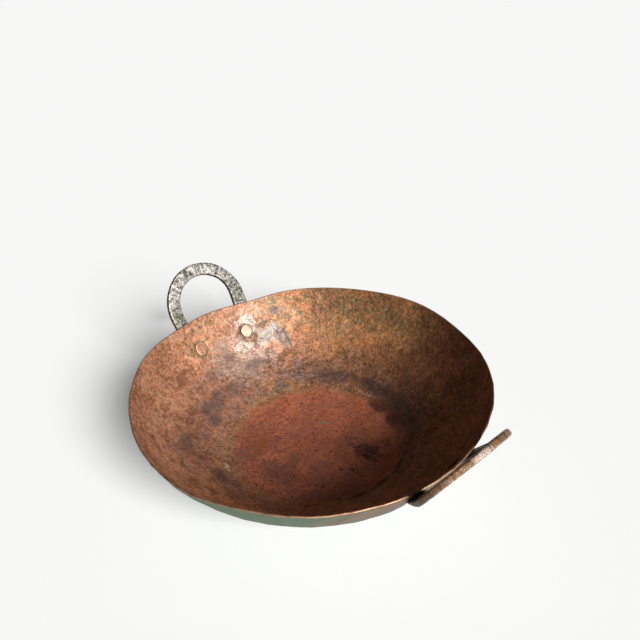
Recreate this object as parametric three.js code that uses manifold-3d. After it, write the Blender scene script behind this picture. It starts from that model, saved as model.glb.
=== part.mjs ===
// A hand-raised copper pan: a wide shallow bowl of hammered sheet with two forged loop handles,
// each held by two rivets that pass through the wall. Millimetres, +Z up.
// The origin is the middle of the flat base's underside, and the handles lie along X.
import * as THREE from "three";
import { mergeVertices } from "three/addons/utils/BufferGeometryUtils.js";
import Module from "manifold-3d";

const wasm = await Module();
wasm.setup();

// Bowl
const RIM_DIAMETER = 380; // across the outside of the lip
const PAN_HEIGHT = 98; // floor to lip
const BASE_DIAMETER = 182; // where the wall's arc would meet the floor
const WALL_BOW = 13.5; // how far the wall bulges out from a straight cone
const KNUCKLE_RADIUS = 36; // bend between the flat base and the wall
const SHEET = 2.2; // copper sheet

// Handle loop
const LOOP_WIDTH = 104; // across the outside of the loop
const LOOP_RISE = 61; // lip to the top of the loop, along the loop's own plane
const LOOP_SLOPE = THREE.MathUtils.degToRad(59.5); // the loop leans outwards, from the floor
const STRAP_WIDTH = 16;
const STRAP_THICKNESS = 6.8;
const STRAP_CHAMFER = 1.3;

// Feet of the handle, hammered flat against the wall
const FOOT_WIDTH = 20;
const FOOT_THICKNESS = 3;
const FOOT_END = 12; // rivet's middle to the end of the foot

// Rivets
const SHANK_DIAMETER = 6;
const HEAD_DIAMETER = 13; // inside the pan
const HEAD_HEIGHT = 2.4;
const TAIL_DIAMETER = 12; // hammered over on the handle's foot
const TAIL_HEIGHT = 2.2;
const HEAD_EDGE = 0.8; // upright edge under each domed end

// Rivets' places. An inset is from the side of the loop to the rivet, along the lip, and a drop is from
// the lip down the wall. The pan is made by hand, so one foot is tucked in, one stands wide and one
// hangs low.
const RIVET_INSET = 20;
const RIVET_DROP = 36;
const TUCKED_INSET = 28;
const TUCKED_DROP = 27;
const WIDE_INSET = 16.5;
const LOW_DROP = 41;

// Lip to the middle of each handle's strap
const RIGHT_STANDOFF = 4.5;
const LEFT_STANDOFF = 3;

// Fits
const CLEARANCE = 0.3; // between touching pieces, and around each shank

// Facets
const BOWL_SIDES = 72;
const WALL_STEPS = 14;
const KNUCKLE_STEPS = 4;
const ROUND_SIDES = 20;
const DOME_STEPS = 4;
const LEG_STEPS = 9;
const ARCH_STEPS = 9;
const FOOT_TIP_STEPS = 5;

// The wall is one arc of a circle that leaves the base's corner and ends at the lip.
const rimRadius = RIM_DIAMETER / 2;
const baseRadius = BASE_DIAMETER / 2;
const chord = Math.hypot(rimRadius - baseRadius, PAN_HEIGHT);
const chordSlope = Math.atan2(PAN_HEIGHT, rimRadius - baseRadius);
const halfBend = 2 * Math.atan((2 * WALL_BOW) / chord);
const wallRadius = chord / (2 * Math.sin(halfBend));
const lipSlope = chordSlope + halfBend;
const wallCentre = new THREE.Vector2(
  rimRadius - wallRadius * Math.sin(lipSlope),
  PAN_HEIGHT + wallRadius * Math.cos(lipSlope),
);

// The knuckle's circle touches the floor and, from inside, the wall's circle.
const knuckleCentre = new THREE.Vector2(
  wallCentre.x +
    Math.sqrt((wallRadius - KNUCKLE_RADIUS) ** 2 - (wallCentre.y - KNUCKLE_RADIUS) ** 2),
  KNUCKLE_RADIUS,
);
const knuckleSlope = Math.atan2(knuckleCentre.x - wallCentre.x, wallCentre.y - knuckleCentre.y);

const shankRadius = SHANK_DIAMETER / 2;
const headRadius = HEAD_DIAMETER / 2;
const tailRadius = TAIL_DIAMETER / 2;

// The two handles, before each is turned to its side of the pan.
const loopSide = LOOP_WIDTH / 2;
const HANDLES = [
  {
    name: "right_handle",
    turn: THREE.MathUtils.degToRad(-0.8),
    standoff: RIGHT_STANDOFF,
    rivets: {
      back: { side: loopSide - RIVET_INSET, drop: RIVET_DROP },
      front: { side: TUCKED_INSET - loopSide, drop: TUCKED_DROP },
    },
  },
  {
    name: "left_handle",
    turn: Math.PI,
    standoff: LEFT_STANDOFF,
    rivets: {
      back: { side: loopSide - WIDE_INSET, drop: RIVET_DROP },
      front: { side: RIVET_INSET - loopSide, drop: LOW_DROP },
    },
  },
];

// Points on an arc, from one slope of its tangent to another.
function arcPoints(centre, radius, fromSlope, toSlope, steps) {
  return Array.from({ length: steps + 1 }, (_, i) => {
    const slope = THREE.MathUtils.lerp(fromSlope, toSlope, i / steps);
    return new THREE.Vector2(
      centre.x + radius * Math.sin(slope),
      centre.y - radius * Math.cos(slope),
    );
  });
}

// One face of the sheet, from the base's edge to the lip, set in from the outside by inset.
function sheetFace(inset) {
  const lip = Math.acos((wallCentre.y - PAN_HEIGHT) / (wallRadius - inset));
  const knuckle = arcPoints(knuckleCentre, KNUCKLE_RADIUS - inset, 0, knuckleSlope, KNUCKLE_STEPS);
  const wall = arcPoints(wallCentre, wallRadius - inset, knuckleSlope, lip, WALL_STEPS);
  return [...knuckle, ...wall.slice(1)];
}

// A geometry as a solid for cutting.
function solidOf(geometry) {
  const bare = geometry.index ? geometry.toNonIndexed() : geometry.clone();
  bare.deleteAttribute("normal");
  bare.deleteAttribute("uv");
  const merged = mergeVertices(bare, 1e-4);
  return new wasm.Manifold(
    new wasm.Mesh({
      numProp: 3,
      vertProperties: merged.attributes.position.array,
      triVerts: new Uint32Array(merged.index.array),
    }),
  );
}

// A solid as a geometry again.
function geometryOf(solid) {
  const mesh = solid.getMesh();
  const geometry = new THREE.BufferGeometry();
  geometry.setAttribute("position", new THREE.BufferAttribute(mesh.vertProperties, 3));
  geometry.setIndex(new THREE.BufferAttribute(mesh.triVerts, 1));
  geometry.computeVertexNormals();
  return geometry;
}

function drill(geometry, holes) {
  return geometryOf(holes.reduce((solid, hole) => solid.subtract(solidOf(hole)), solidOf(geometry)));
}

// A place on the outside of the wall near the +X side: side runs along the lip, drop down the wall.
function wallSeat(side, drop) {
  const slope = lipSlope - drop / wallRadius;
  const radius = wallCentre.x + wallRadius * Math.sin(slope);
  const turn = Math.asin(side / radius);
  return {
    point: new THREE.Vector3(
      radius * Math.cos(turn),
      radius * Math.sin(turn),
      wallCentre.y - wallRadius * Math.cos(slope),
    ),
    normal: new THREE.Vector3(
      Math.sin(slope) * Math.cos(turn),
      Math.sin(slope) * Math.sin(turn),
      -Math.cos(slope),
    ),
  };
}

// The middle of the strap at a place in the loop: on the wall at the foot, in the loop's plane above.
function strapFrame(standoff, drop, side, rise) {
  const lift = THREE.MathUtils.smoothstep(rise, FOOT_END - drop, 0);
  const thickness = THREE.MathUtils.lerp(FOOT_THICKNESS, STRAP_THICKNESS, lift);
  const seat = wallSeat(side, -rise);
  const seated = seat.point.addScaledVector(seat.normal, CLEARANCE + thickness / 2);
  const free = new THREE.Vector3(
    rimRadius + standoff + rise * Math.cos(LOOP_SLOPE),
    side,
    PAN_HEIGHT + rise * Math.sin(LOOP_SLOPE),
  );
  const freeNormal = new THREE.Vector3(Math.sin(LOOP_SLOPE), 0, -Math.cos(LOOP_SLOPE));
  return {
    middle: seated.lerp(free, lift),
    normal: seat.normal.lerp(freeNormal, lift).normalize(),
    width: THREE.MathUtils.lerp(FOOT_WIDTH, STRAP_WIDTH, lift),
    thickness,
  };
}

// The strap's middle line from the tip of one foot to the top of the arch, as places in the loop.
function halfLoop({ side, drop }) {
  const archRadius = loopSide - STRAP_WIDTH / 2;
  const archRise = LOOP_RISE - STRAP_WIDTH / 2 - archRadius;
  const rivet = new THREE.Vector2(Math.abs(side), -drop);
  const shoulder = new THREE.Vector2(archRadius, archRise);
  const bend = new THREE.Vector2(archRadius, (archRise + rivet.y) / 2);
  const leg = new THREE.QuadraticBezierCurve(rivet, bend, shoulder);
  const arch = new THREE.EllipseCurve(0, archRise, archRadius, archRadius, 0, Math.PI / 2);
  const down = rivet.clone().sub(bend).normalize();
  const tip = rivet.clone().addScaledVector(down, FOOT_END);
  const places = [];
  // The tip is a half round, so its width follows a circle.
  const tipRadius = FOOT_WIDTH / 2;
  for (let i = 1; i <= FOOT_TIP_STEPS; i++) {
    const angle = ((Math.PI / 2) * (i - 0.5)) / (FOOT_TIP_STEPS - 0.5);
    const along = tipRadius * (1 - Math.cos(angle));
    const place = tip.clone().addScaledVector(down, -along);
    places.push({ place, taper: Math.sin(angle) });
  }
  leg.getPoints(LEG_STEPS).forEach((place) => places.push({ place, taper: 1 }));
  arch
    .getPoints(ARCH_STEPS)
    .slice(1)
    .forEach((place) => places.push({ place, taper: 1 }));
  places.forEach(({ place }) => place.setX(Math.sign(side) * place.x));
  return places;
}

// A rectangle with its corners cut off, in the plane of across and normal.
function strapSection(middle, across, normal, width, thickness) {
  const w = width / 2;
  const t = thickness / 2;
  const cut = Math.min(STRAP_CHAMFER, w / 2, t / 2);
  const corners = [
    [w - cut, -t],
    [w, cut - t],
    [w, t - cut],
    [w - cut, t],
    [cut - w, t],
    [-w, t - cut],
    [-w, cut - t],
    [cut - w, -t],
  ];
  return corners.map(([a, n]) => middle.clone().addScaledVector(across, a).addScaledVector(normal, n));
}

// A closed solid through a row of sections that all have the same number of corners.
function loft(sections) {
  const count = sections[0].length;
  const positions = sections.flat().flatMap((p) => p.toArray());
  const faces = [];
  for (let s = 0; s + 1 < sections.length; s++) {
    for (let c = 0; c < count; c++) {
      const a = s * count + c;
      const b = s * count + ((c + 1) % count);
      faces.push(a, b, b + count, a, b + count, a + count);
    }
  }
  const last = (sections.length - 1) * count;
  for (let c = 1; c + 1 < count; c++) {
    faces.push(0, c + 1, c);
    faces.push(last, last + c, last + c + 1);
  }
  const geometry = new THREE.BufferGeometry();
  geometry.setAttribute("position", new THREE.Float32BufferAttribute(positions, 3));
  geometry.setIndex(faces);
  return geometry;
}

function bowlGeometry(holes) {
  const outside = [new THREE.Vector2(0, 0), ...sheetFace(0)];
  const inside = [new THREE.Vector2(0, SHEET), ...sheetFace(SHEET)];
  const profile = [...outside, ...inside.reverse()];
  return drill(new THREE.LatheGeometry(profile, BOWL_SIDES).rotateX(Math.PI / 2), holes);
}

function handleGeometry(handle, holes) {
  const [back, front] = [handle.rivets.back, handle.rivets.front].map((rivet) =>
    halfLoop(rivet).map(({ place, taper }) => ({
      ...strapFrame(handle.standoff, rivet.drop, place.x, place.y),
      taper,
    })),
  );
  const stations = [...back, ...front.slice(0, -1).reverse()];
  const sections = stations.map(({ middle, normal, width, thickness, taper }, i) => {
    const before = stations[Math.max(i - 1, 0)].middle;
    const after = stations[Math.min(i + 1, stations.length - 1)].middle;
    const along = after.clone().sub(before).normalize();
    const across = normal.clone().cross(along).normalize();
    const face = along.clone().cross(across);
    return strapSection(middle, across, face, width * taper, thickness);
  });
  return drill(loft(sections), holes);
}

// A domed end of a rivet: from its edge, at the given height, to the axis.
function domePoints(radius, height, towards) {
  const points = [];
  for (let i = 0; i <= DOME_STEPS; i++) {
    const angle = (i / DOME_STEPS) * (Math.PI / 2);
    const rise = HEAD_EDGE + (height - HEAD_EDGE) * Math.sin(angle);
    points.push(new THREE.Vector2(radius * Math.cos(angle), towards * rise));
  }
  points[DOME_STEPS].x = 0;
  return points;
}

// A rivet along +Y, with y = 0 on the outside of the wall and +Y away from the pan.
// Its head stands off by a little more than the clearance, because the wall inside is hollow.
function rivetGeometry() {
  const hollow = headRadius ** 2 / (2 * (wallRadius - SHEET));
  const headSeat = -(SHEET + CLEARANCE + hollow);
  const tailSeat = CLEARANCE + FOOT_THICKNESS + CLEARANCE;
  const head = domePoints(headRadius, HEAD_HEIGHT, -1).map((p) => p.setY(p.y + headSeat));
  const tail = domePoints(tailRadius, TAIL_HEIGHT, 1).map((p) => p.setY(p.y + tailSeat));
  const profile = [
    ...head.reverse(),
    new THREE.Vector2(headRadius, headSeat),
    new THREE.Vector2(shankRadius, headSeat),
    new THREE.Vector2(shankRadius, tailSeat),
    new THREE.Vector2(tailRadius, tailSeat),
    ...tail,
  ];
  return new THREE.LatheGeometry(profile, ROUND_SIDES);
}

// Where a rivet goes, before its handle is turned to its side of the pan.
function rivetPose({ side, drop }) {
  const { point, normal } = wallSeat(side, drop);
  const quaternion = new THREE.Quaternion().setFromUnitVectors(new THREE.Vector3(0, 1, 0), normal);
  return { point, quaternion };
}

// A cutter for the hole of one rivet, long enough to pass the wall and the foot.
function rivetHole(rivet) {
  const { point, quaternion } = rivetPose(rivet);
  const reach = 2 * (SHEET + FOOT_THICKNESS + STRAP_THICKNESS);
  return new THREE.CylinderGeometry(shankRadius + CLEARANCE, shankRadius + CLEARANCE, reach, ROUND_SIDES)
    .applyQuaternion(quaternion)
    .translate(point.x, point.y, point.z);
}

const bowlCopper = new THREE.MeshStandardMaterial({ color: 0x9c5a3c, roughness: 0.5, metalness: 0.85 });
const handleBronze = new THREE.MeshStandardMaterial({ color: 0x7d6a58, roughness: 0.42, metalness: 0.9 });
const rivetCopper = new THREE.MeshStandardMaterial({ color: 0xb98a66, roughness: 0.45, metalness: 0.9 });

function named(name, geometry, material) {
  const mesh = new THREE.Mesh(geometry, material);
  mesh.name = name;
  return mesh;
}

// A handle with its two rivets, built on the +X side and turned to its own side of the pan.
function handleAssembly(handle) {
  const group = new THREE.Group();
  const holes = Object.values(handle.rivets).map(rivetHole);
  group.add(named(handle.name, handleGeometry(handle, holes), handleBronze));
  for (const [foot, place] of Object.entries(handle.rivets)) {
    const rivet = named(`${handle.name}_${foot}_rivet`, rivetGeometry(), rivetCopper);
    const { point, quaternion } = rivetPose(place);
    rivet.position.copy(point);
    rivet.quaternion.copy(quaternion);
    group.add(rivet);
  }
  group.rotation.z = handle.turn;
  return group;
}

const bowlHoles = HANDLES.flatMap(({ rivets, turn }) =>
  Object.values(rivets).map((rivet) => rivetHole(rivet).rotateZ(turn)),
);

const pan = new THREE.Group();
pan.add(named("pan_bowl", bowlGeometry(bowlHoles), bowlCopper));
for (const handle of HANDLES) {
  pan.add(handleAssembly(handle));
}

export default pan;
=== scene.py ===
"""Dresses the copper pan on its packed frame: a hammered bowl, two forged handles and four rivets."""

import math
from functools import cached_property
from typing import NamedTuple

import bmesh
import bpy
from bpy.props import FloatProperty, FloatVectorProperty, IntProperty, PointerProperty
from mathutils import Matrix, Vector, noise
from mathutils.kdtree import KDTree


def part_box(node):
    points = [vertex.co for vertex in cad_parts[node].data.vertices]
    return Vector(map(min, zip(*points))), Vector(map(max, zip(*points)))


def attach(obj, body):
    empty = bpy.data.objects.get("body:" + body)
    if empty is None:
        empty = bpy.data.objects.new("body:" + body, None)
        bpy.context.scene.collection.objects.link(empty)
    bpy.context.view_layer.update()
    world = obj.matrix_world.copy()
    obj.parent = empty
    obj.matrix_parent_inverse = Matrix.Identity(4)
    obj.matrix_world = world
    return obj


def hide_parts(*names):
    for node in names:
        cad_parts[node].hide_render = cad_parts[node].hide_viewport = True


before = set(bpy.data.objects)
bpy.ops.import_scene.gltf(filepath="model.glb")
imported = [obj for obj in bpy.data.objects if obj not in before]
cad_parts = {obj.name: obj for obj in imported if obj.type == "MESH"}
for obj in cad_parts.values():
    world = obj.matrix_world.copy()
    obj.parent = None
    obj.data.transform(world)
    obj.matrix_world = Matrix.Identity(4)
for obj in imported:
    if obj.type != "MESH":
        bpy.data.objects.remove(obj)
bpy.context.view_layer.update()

bl_info = {
    "name": "Copper Pan",
    "version": (1, 0, 0),
    "blender": (4, 5, 0),
    "location": "View3D > Sidebar > Copper Pan",
    "description": "Raises a hammered copper pan with two forged handles on its packed frame",
    "category": "Add Mesh",
}

BOWL_LOW, BOWL_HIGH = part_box("pan_bowl")


class Foot(NamedTuple):
    """A handle's foot, in metres: its rivet's place along the lip and down the wall, and its leg's flare."""

    side: float
    drop: float
    flare: float


class Handle(NamedTuple):
    """A handle: its CAD node, its turn round the pan, its gap to the lip and its two feet."""

    node: str
    turn: float
    standoff: float
    back: Foot
    front: Foot


HANDLES = (
    Handle(
        "right_handle",
        turn=math.radians(-0.8),
        standoff=0.0045,
        back=Foot(0.032, 0.036, 0.001),
        front=Foot(-0.024, 0.027, 0.001),
    ),
    Handle(
        "left_handle",
        turn=math.radians(180.0),
        standoff=0.003,
        back=Foot(0.0355, 0.036, 0.001),
        front=Foot(-0.032, 0.041, 0.0032),
    ),
)


class RivetForm(NamedTuple):
    """How one rivet was set: its head's stretch, turn, height and tone, and the ring around it, partly grime
    and partly painted shade.
    """

    handle: Handle
    foot: str
    wide: float
    tall: float
    turn: float
    proud: float
    face: str
    dirt_and_shade: str
    seed: float


RIVETS = (
    # The right rivets: heads and rings darkened as painted shade, to match the shaded wall by them.
    RivetForm(HANDLES[0], "back", 1.04, 0.96, 20.0, 0.35, "rivet_dull", "umber", 3.0),
    RivetForm(HANDLES[0], "front", 0.96, 1.05, 70.0, 0.5, "rivet_dull", "umber", 7.0),
    RivetForm(HANDLES[1], "back", 1.12, 1.36, 15.0, 0.7, "rivet_orange", "olive", 11.0),
    RivetForm(HANDLES[1], "front", 1.08, 1.26, 0.0, 1.0, "rivet_pale", "crevice_shade_and_dirt", 19.0),
)


class Bend(NamedTuple):
    """A place where the lip was knocked: azimuth and spread in degrees, then metres up and out."""

    azimuth: float
    spread: float
    rise: float
    push: float


LIP_BENDS = (
    Bend(165.0, 9.0, -0.0046, 0.0),
    Bend(97.0, 12.0, 0.0014, 0.0008),
    Bend(70.0, 10.0, -0.0012, -0.0006),
    Bend(215.0, 9.0, 0.0024, 0.001),
    Bend(254.0, 9.0, 0.0, -0.0013),
    Bend(286.0, 8.0, -0.0014, 0.0006),
    Bend(301.0, 8.0, 0.0022, -0.0006),
    Bend(326.0, 9.0, -0.0012, 0.0005),
    Bend(348.0, 8.0, -0.0018, 0.0010),
)


class Dent(NamedTuple):
    """A knock in the wall: azimuth in degrees, then radius, spread and depth outwards, in metres."""

    azimuth: float
    radius: float
    spread: float
    depth: float


DENTS = (
    Dent(174.9, 0.157, 0.0055, -0.0011),
    Dent(169.1, 0.1546, 0.0055, -0.0011),
    Dent(162.6, 0.157, 0.0050, -0.0013),
    Dent(160.4, 0.166, 0.0050, -0.0013),
    Dent(155.6, 0.1685, 0.0050, -0.0012),
    Dent(153.4, 0.159, 0.0050, -0.0012),
    Dent(151.6, 0.148, 0.0050, -0.0010),
    Dent(157.3, 0.154, 0.0060, 0.0014),
    Dent(180.5, 0.160, 0.012, 0.0012),
    Dent(184.0, 0.176, 0.009, -0.0008),
    Dent(202.4, 0.1134, 0.005, -0.0008),
    Dent(350.0, 0.168, 0.020, 0.0015),
    Dent(205.0, 0.164, 0.014, 0.0010),
    Dent(140.0, 0.172, 0.016, 0.0009),
    Dent(120.0, 0.150, 0.018, -0.0009),
)


def length(name, description, default):
    """A size in metres that a user may change."""
    return FloatProperty(name=name, description=description, default=default, precision=4, unit="LENGTH")


def angle(name, description, degrees):
    """An angle that a user may change."""
    return FloatProperty(name=name, description=description, default=math.radians(degrees), unit="ROTATION")


def colour(name, description, default):
    """A linear colour that a user may change."""
    return FloatVectorProperty(
        name=name, description=description, default=default, size=3, min=0.0, max=1.0, subtype="COLOR"
    )


def place(name, description, default):
    """A place in metres that a user may change."""
    return FloatVectorProperty(name=name, description=description, default=default, subtype="TRANSLATION")


class PanBowlSettings(bpy.types.PropertyGroup):
    """Sizes of the bowl"""

    rim_diameter: length("Rim diameter", "Across the outside of the lip", BOWL_HIGH.y - BOWL_LOW.y)
    height: length("Height", "Floor to lip", BOWL_HIGH.z - BOWL_LOW.z)
    base_diameter: length("Base diameter", "Where the wall's arc would meet the floor", 0.182)
    wall_bow: length("Wall bow", "How far the wall bulges out from a straight cone", 0.0135)
    knuckle_radius: length("Knuckle radius", "Bend between the base and the wall", 0.036)
    sheet: length("Sheet", "Thickness of the copper", 0.0022)
    facet_size: length("Facet size", "Across one hammer mark", 0.015)
    facet_depth: length("Facet depth", "Middle of a hammer mark to its ridge", 0.0009)
    wave_size: length("Wave size", "Length of the slow unevenness of the wall", 0.055)
    wave_depth: length("Wave depth", "Depth of the slow unevenness of the wall", 0.0009)
    segments: IntProperty(name="Segments", description="Steps of the spin", default=480, min=24)


class PanHandleSettings(bpy.types.PropertyGroup):
    """Sizes of the handles"""

    loop_width: length("Loop width", "Across the outside of the loop", 0.104)
    loop_rise: length("Loop rise", "Lip to the top of the loop, along the loop's plane", 0.061)
    loop_slope: angle("Loop slope", "How the loop leans, from the floor", 59.5)
    strap_width: length("Strap width", "Across the flat of the strap", 0.016)
    strap_thickness: length("Strap thickness", "Through the strap", 0.0068)
    strap_round: length("Strap round", "Radius of the strap's edges", 0.0022)
    foot_width: length("Foot width", "Across a hammered foot", 0.020)
    foot_thickness: length("Foot thickness", "Through a hammered foot", 0.003)
    foot_end: length("Foot end", "Rivet to the end of its foot", 0.012)
    clearance: length("Clearance", "Between the wall and a foot", 0.0003)
    mark_depth: length("Mark depth", "Depth of the hammer marks", 0.0006)


class PanRivetSettings(bpy.types.PropertyGroup):
    """Sizes of the rivets"""

    shank_diameter: length("Shank diameter", "Through the wall", 0.006)
    head_diameter: length("Head diameter", "Inside the pan", 0.0135)
    head_height: length("Head height", "Wall to the top of the head", 0.0024)
    tail_diameter: length("Tail diameter", "On the handle's foot", 0.012)
    tail_height: length("Tail height", "Foot to the top of the tail", 0.0022)
    mark_depth: length("Mark depth", "Depth of the hammer marks", 0.00035)


class PanCopperColours(bpy.types.PropertyGroup):
    """Colours of the bowl"""

    wall: colour("Wall", "Worn copper of the wall", (0.46, 0.195, 0.105))
    orange: colour("Orange", "Cleaner copper high on the wall", (0.66, 0.28, 0.105))
    pink: colour("Pink", "Rubbed copper halfway down the wall", (0.60, 0.285, 0.180))
    salmon: colour("Salmon", "Cleaner copper on the left of the wall", (0.60, 0.30, 0.185))
    amber: colour("Amber", "Golden copper at the back of the wall", (0.60, 0.235, 0.075))
    # Umber is painted shade: the wall by the right handle lies in shade. It also darkens the lip on that
    # side.
    umber: colour("Umber", "Dark wall on the handle's side", (0.185, 0.083, 0.041))
    brown: colour("Brown", "Old tarnish", (0.20, 0.088, 0.042))
    olive: colour("Olive", "Green-brown specks of tarnish", (0.20, 0.15, 0.062))
    dark: colour("Dark", "Black tarnish in pits and rings", (0.035, 0.022, 0.017))
    violet: colour("Violet", "Grey-violet patches of tarnish", (0.165, 0.098, 0.082))
    haze: colour("Haze", "Grey film under the rivets", (0.35, 0.265, 0.215))
    # The grey ridges beside the rivet in two tones: the darker is painted shade, the paler painted light.
    grey_ridge_shaded: colour("Slate", "Darker grey ridge beside a rivet", (0.245, 0.175, 0.142))
    grey_ridge_lit: colour("Ash", "Pale grey ridge beside a rivet", (0.29, 0.25, 0.228))
    # A painted highlight over a chalky film round the rivets.
    chalk_and_sheen: colour("Chalk", "Chalky film around the rivets", (0.55, 0.455, 0.385))
    maroon: colour("Maroon", "Dark red tarnish at the edge of the base", (0.14, 0.044, 0.030))
    rust: colour("Rust", "Orange-brown stain on the base", (0.36, 0.115, 0.036))
    ochre: colour("Ochre", "Golden flecks round the base", (0.34, 0.195, 0.078))
    brick: colour("Brick", "Reddish streaks on the dark side", (0.33, 0.115, 0.055))
    rose: colour("Rose", "Dull pink on the near half of the base", (0.40, 0.155, 0.108))
    # Painted shade in creases and round the pale rivet, with some grime.
    crevice_shade_and_dirt: colour("Crevice", "Dirt around a rivet", (0.085, 0.060, 0.036))
    base_red: colour("Base red", "Rosy copper of the base", (0.66, 0.215, 0.112))
    base_deep: colour("Base deep", "Darker copper of the base", (0.42, 0.125, 0.066))
    mint: colour("Mint", "Verdigris streak", (0.30, 0.34, 0.20))
    pale: colour("Pale", "Rubbed metal around the rivets", (0.70, 0.46, 0.36))
    verdigris: colour("Verdigris", "Pale green film outside", (0.120, 0.180, 0.120))
    outside_brown: colour("Outside brown", "Tarnished copper outside", (0.15, 0.085, 0.045))
    lip: colour("Lip", "Worn bare edge", (0.45, 0.25, 0.150))


class PanMetalColours(bpy.types.PropertyGroup):
    """Colours of the handles and rivets"""

    # The grey carries a painted sheen over the bronze's own patina.
    bronze: colour("Bronze", "Grey bronze of the handles", (0.38, 0.356, 0.325))
    bronze_dark: colour("Bronze dark", "Scale in the hammer marks", (0.10, 0.078, 0.055))
    bronze_green: colour("Bronze green", "Grey-green film at the legs", (0.215, 0.217, 0.166))
    # Rubbed copper at the edges, with a painted sheen; it also paints pale highlights on the right handle's
    # side.
    bronze_rub_and_sheen: colour("Bronze edge", "Rubbed copper edges", (0.62, 0.42, 0.33))
    # A painted highlight on the side of the right handle.
    bronze_highlight: colour("Bronze worn", "Side that a hand has rubbed pale", (0.60, 0.46, 0.40))
    bronze_side: colour("Bronze side", "Brown sides of the strap", (0.30, 0.165, 0.080))
    # Painted shade on the sides of the left handle, turned from the light; it also darkens the legs of the
    # right handle.
    bronze_soot_and_shade: colour("Bronze soot", "Sides of the strap that stay in the dark", (0.035, 0.028, 0.020))
    rivet_pale: colour("Rivet pale", "Rubbed head of a rivet", (0.52, 0.31, 0.21))
    rivet_orange: colour("Rivet orange", "Redder copper of a rivet", (0.60, 0.30, 0.185))
    # Painted shade with tarnish: the heads of the right rivets, which sit in the shaded wall.
    rivet_dull: colour("Rivet dull", "Tarnished head on the dark side", (0.20, 0.092, 0.046))
    rivet_dark: colour("Rivet dark", "Tarnish round a head", (0.06, 0.04, 0.025))


class PanStageSettings(bpy.types.PropertyGroup):
    """Floor, light and camera"""

    floor_size: length("Floor size", "Side of the floor", 80.0)
    floor_colour: colour("Floor colour", "Pale floor", (0.80, 0.80, 0.797))
    floor_glow: colour("Floor glow", "Light that the floor gives back everywhere", (0.24, 0.24, 0.239))
    key_azimuth: angle("Key azimuth", "Where the main light comes from", -5.0)
    key_elevation: angle("Key elevation", "Height of the main light", 31.0)
    key_width: angle("Key width", "How wide the main light looks", 26.0)
    key_power: FloatProperty(name="Key power", description="Strength of the main light", default=5.0)
    world_power: FloatProperty(name="World power", description="Strength of the even light", default=0.04)
    camera_place: place("Camera place", "Where the camera stands", (0.41209, -0.33204, 0.49660))
    camera_heading: angle("Camera heading", "Turn of the camera about Z", 49.67)
    camera_tilt: angle("Camera tilt", "Tilt of the camera up from straight down", 57.98)
    camera_roll: angle("Camera roll", "Roll of the camera about its view", -3.125)
    camera_lens: FloatProperty(name="Camera lens", description="Focal length in mm", default=34.875)
    camera_sensor: FloatProperty(name="Camera sensor", description="Sensor width in mm", default=36.0)


def smoothstep(value, low, high):
    """0 below low, 1 above high and smooth between."""
    t = min(max((value - low) / (high - low), 0.0), 1.0)
    return t * t * (3.0 - 2.0 * t)


def bell(offset, spread):
    """1 at no offset, falling away over the spread."""
    return math.exp(-0.5 * (offset / spread) ** 2)


def turned_from(azimuth, centre):
    """Degrees from one azimuth to another, the short way round."""
    return (azimuth - centre + 180.0) % 360.0 - 180.0


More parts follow.
